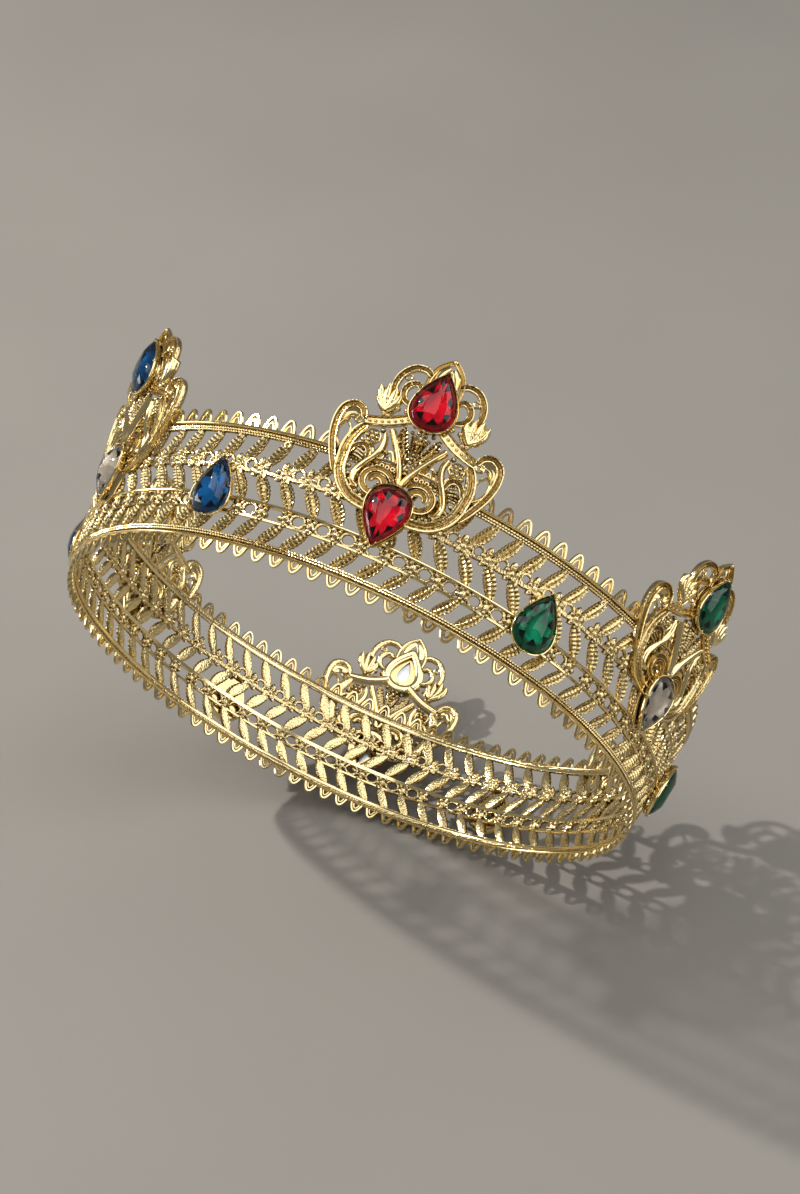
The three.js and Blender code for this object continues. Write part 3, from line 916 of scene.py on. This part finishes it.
def mirror_foil():
    """Silver foil on the back of a stone, a little cloudy and crinkled."""
    finish = Finish("mirror_foil")
    cloud = finish.noise(FOIL_CLOUD)
    sockets = {"Base Color": finish.blend(cloud, SILVER, DULL_SILVER), "Metallic": 1.0}
    sockets["Roughness"] = 0.34 + 0.14 * cloud
    sockets["Normal"] = finish.bump(cloud, 0.2, FOIL_DEPTH)
    return finish.surface(sockets)


GLASS_COLOURS = {
    "ruby": ((0.86, 0.005, 0.02, 1), (0.60, 0.0, 0.01, 1)),
    "sapphire": ((0.003, 0.13, 0.33, 1), (0.001, 0.055, 0.17, 1)),
    "emerald": ((0.002, 0.33, 0.135, 1), (0.0, 0.13, 0.05, 1)),
    "champagne": ((1.0, 0.87, 0.68, 1), (0.98, 0.76, 0.52, 1)),
}
GLASS = {kind: coloured_glass(kind + "_glass", *pair) for kind, pair in GLASS_COLOURS.items()}
foil = mirror_foil()


def stone(name, kind, turn, up, out, pointing):
    """One faceted stone in its seat, with glass in front of the girdle and foil behind it."""
    points = at_seat(stone_points, turn, up, out, pointing)
    volume = signed_volume(points - points.mean(axis=0), NO_QUADS, stone_facets)
    facets = stone_facets if volume > 0 else stone_facets[:, ::-1]
    piece = make_mesh(name + "_cut", points, NO_QUADS, facets, [GLASS[kind], foil], smooth=False)
    foiled = (np.arange(len(stone_facets)) >= front_count).astype(np.int32)
    piece.data.polygons.foreach_set("material_index", foiled)
    take_place(piece, name, kind + "_glass")


print("kinds of glass:", ", ".join(GLASS))

# %% [markdown]
# ### Settings
# A setting is a thin cup, open in front and nearly closed behind, where a small hole shows the foil. A
# Solidify modifier would give it one thickness everywhere; one section carried round the outline gives
# the rolled edge, the drawn-in foot and the back plate too.

# %% The settings
SETTING_STEPS = 44
# the cup's section: distance outside the stone's outline, and height above the seat
CUP = [(0.42, 1.75), (0.3, 1.95), (0.12, 1.85), (0.06, 1.4), (-0.9, 0.3),
       (-4.2, 0.3), (-4.2, 0.06), (-2.2, 0.0), (-0.3, 0.0), (0.4, 1.2)]
CLAWS = [1, 3, 6, 9, 11]  # their places on an outline of twelve points


def setting_work():
    """The cup's section carried round the stone's outline, and a bead on its edge for each claw."""
    rings = []
    for outwards, height in CUP:
        outline = pear(SETTING_STEPS, STONE_LENGTH + 2 * outwards, STONE_WIDTH + 2 * outwards)
        rings.append(np.column_stack([outline, np.full(SETTING_STEPS, height)]))
    work = Metalwork()
    work.add(np.stack(rings, axis=1), loop=True, tooled=0.1)
    claws = pear(12, STONE_LENGTH + 0.3, STONE_WIDTH + 0.3)[CLAWS]
    work.add(beads(claws, 0.3, 0.3, 0.5, 1.9))
    return work


cup = setting_work()


def setting(name, turn, up, out, pointing):
    """One setting in its seat, standing for the node of the same name."""
    points, quads, triangles, tooled = cup.arrays()
    # painted shade: the cup darkens towards its seat, below the girdle
    recess_shade = np.clip(1 - points[:, 2] / GIRDLE, 0, 1)
    placed = at_seat(points, turn, up, out, pointing)
    piece = make_mesh(name + "_fine", placed, quads, triangles, [gold], {"tooled": tooled, "recess_shade": recess_shade})
    take_place(piece, name, "gold_plate")


print("points in a setting:", cup.count)

# %% Eighteen stones: upper, lower and the next one on the band, plaque by plaque
STONES = [("ruby", "ruby", "emerald"), ("emerald", "champagne", "emerald"),
          ("sapphire", "champagne", "emerald"), ("ruby", "ruby", "sapphire"),
          ("emerald", "champagne", "sapphire"), ("sapphire", "champagne", "sapphire")]
for number, kinds in enumerate(STONES, start=1):
    turn = plaque_turn(number)
    seats = [("upper", turn, UPPER_STONE, PLAQUE_SEAT, 1), ("lower", turn, LOWER_STONE, PLAQUE_SEAT, -1),
             ("band", turn + BAND_STONE_TURN, BAND_STONE, BAND_SEAT, 1)]
    for (label, *seat), kind in zip(seats, kinds):
        stone(f"{label}_stone_{number}", kind, *seat)
        setting(f"{label}_setting_{number}", *seat)
print("stones set:", len(STONES) * 3)

# %% [markdown]
# ## Camera, surface and light
# The crown is looked at from a little below its rim and tipped to one side, as it is when it leans on its
# edge. The crown can't be turned here, so the surface it leans on is tipped instead: a pale plane that
# touches the crown's far edge. Its back is see-through, so that it hides nothing from behind.

# %% The camera
CAMERA_TURN = math.radians(7.5)
CAMERA_TILT = -0.3726
CAMERA_ROLL = 0.4516
CAMERA_DISTANCE = 8.1801  # these three are in rim radii
CAMERA_ACROSS = -0.1731
CAMERA_DOWN = -0.3455
LENS = 75.4


def camera_axes():
    """Right, up and forward: the level axes tilted about the sideways one, rolled, then turned round Z."""
    ct, st = math.cos(CAMERA_TILT), math.sin(CAMERA_TILT)
    cr, sr = math.cos(CAMERA_ROLL), math.sin(CAMERA_ROLL)
    turn = Matrix.Rotation(CAMERA_TURN, 3, "Z")
    axes = Vector((cr, sr * st, sr * ct)), Vector((-sr, cr * st, cr * ct)), Vector((0, ct, -st))
    return [turn @ axis for axis in axes]


right, above, forward = camera_axes()
offset = -CAMERA_ACROSS * right - CAMERA_DOWN * above - CAMERA_DISTANCE * forward
camera_data = bpy.data.cameras.new("camera")
camera_data.lens = LENS
camera = bpy.data.objects.new("camera", camera_data)
basis = Matrix((right, above, -forward)).transposed().to_4x4()
place = offset * RIM_RADIUS * MM + Vector((0, 0, RAIL_HEIGHT * MM))
camera.matrix_world = Matrix.Translation(place) @ basis
bpy.context.scene.collection.objects.link(camera)
bpy.context.scene.camera = camera
print("camera stands off, mm:", round(camera.location.length / MM))

# %% The pale card
LEAN = math.radians(40)  # between the surface and a floor seen edge-on
CARD_CLOUD = 9.0  # lumps to the metre
CARD = (0.215, 0.20, 0.18, 1)
LIGHT_CARD = (0.25, 0.235, 0.21, 1)
facing = (math.cos(LEAN) * above - math.sin(LEAN) * forward).normalized()


def pale_card():
    """Warm grey card, see-through from behind."""
    finish = Finish("pale_card")
    colour = finish.blend(finish.noise(CARD_CLOUD), CARD, LIGHT_CARD)
    card = finish.add("ShaderNodeBsdfPrincipled", None, {"Base Color": colour, "Roughness": 0.75})
    clear = finish.add("ShaderNodeBsdfTransparent")
    behind = finish.add("ShaderNodeNewGeometry", output="Backfacing")
    both = finish.add("ShaderNodeMixShader", None, {0: behind, 1: card, 2: clear})
    finish.add("ShaderNodeOutputMaterial", None, {"Surface": both})
    return finish.material


print("the card faces", [round(value, 2) for value in facing])

# %% Set the card under the crown
SURFACE_SIZE = 6000.0
SURFACE_GAP = 0.5  # clear of the lowest picot
RIM_STEPS = 361
PICOT_TIPS = (-3.5, 36.5)  # heights up the slope


def around(up):
    """Points right round the outside of the band at one height up the slope."""
    along = np.linspace(0, math.tau, RIM_STEPS) * RIM_RADIUS
    return on_band(np.column_stack([along, np.full(RIM_STEPS, up), np.full(RIM_STEPS, 0.8)]))


lowest = float(np.min(np.concatenate([around(up) for up in PICOT_TIPS]) @ np.array(facing)))
side_axis = facing.cross(forward).normalized()
other_axis = facing.cross(side_axis)
corners = np.array([(-1, -1), (1, -1), (1, 1), (-1, 1)]) * SURFACE_SIZE / 2
flat = np.array(facing) * (lowest - SURFACE_GAP) + corners @ np.array([side_axis, other_axis])
order = np.array([[0, 1, 2, 3]])
if np.dot(np.cross(flat[1] - flat[0], flat[2] - flat[1]), facing) < 0:
    order = order[:, ::-1]
surface = make_mesh("pale_surface", flat, order, NO_TRIANGLES, [pale_card()], smooth=False)
print("the card lies", round(SURFACE_GAP - lowest, 1), "mm from the crown's middle")

# %% [markdown]
# ### Light
# Polished metal shows what stands round it, so large softboxes hang where the gold would otherwise mirror
# a dark room, and one small key light throws the crisp leaf pattern of the shadow. A bright world alone
# would light the metal evenly and make it look flat.

# %% Light
WARM_WHITE = (1.0, 0.97, 0.92)
CROWN_MIDDLE = Vector((0, 0, 0.03))
# name, direction (right, up, forward), distance and size in metres, power in watts, and any tint
LIGHTS = [
    ("key", (-0.75, 0.75, -0.25), 1.5, 0.05, 20, WARM_WHITE),
    ("front", (-0.15, 0.5, -0.9), 1.6, 1.1, 5.8),
    ("side", (0.8, 0.05, -0.6), 1.3, 0.9, 4.0),
    ("top", (0.25, 0.85, -0.5), 1.4, 0.9, 4.6),
    ("top_right", (0.85, 0.55, -0.3), 1.4, 0.8, 4.0),
    ("top_left", (-0.65, 0.75, -0.5), 1.4, 0.7, 3.2),
    ("back_left", (-1.0, 0.0, 0.2), 1.2, 0.6, 7.0),
    ("under", (-0.4, -1.0, -0.5), 1.2, 0.6, 3.0),
]


def softbox(name, shares, distance, size, power, colour=(1, 1, 1)):
    """A square light that hangs in the given direction from the crown's middle and faces it."""
    data = bpy.data.lights.new(name, "AREA")
    data.size, data.energy, data.color = size, power, colour
    lamp = bpy.data.objects.new(name, data)
    way = (shares[0] * right + shares[1] * above + shares[2] * forward).normalized()
    lamp.location = CROWN_MIDDLE + way * distance
    lamp.rotation_euler = way.to_track_quat("Z", "Y").to_euler()
    bpy.context.scene.collection.objects.link(lamp)


for light in LIGHTS:
    softbox(*light)
world = bpy.data.worlds.new("studio")
world.use_nodes = True
background = world.node_tree.nodes["Background"].inputs
background["Color"].default_value = (0.92, 0.90, 0.88, 1)
background["Strength"].default_value = 0.2
bpy.context.scene.world = world
bpy.context.scene.view_settings.view_transform = "Standard"
print("lights:", len(LIGHTS))
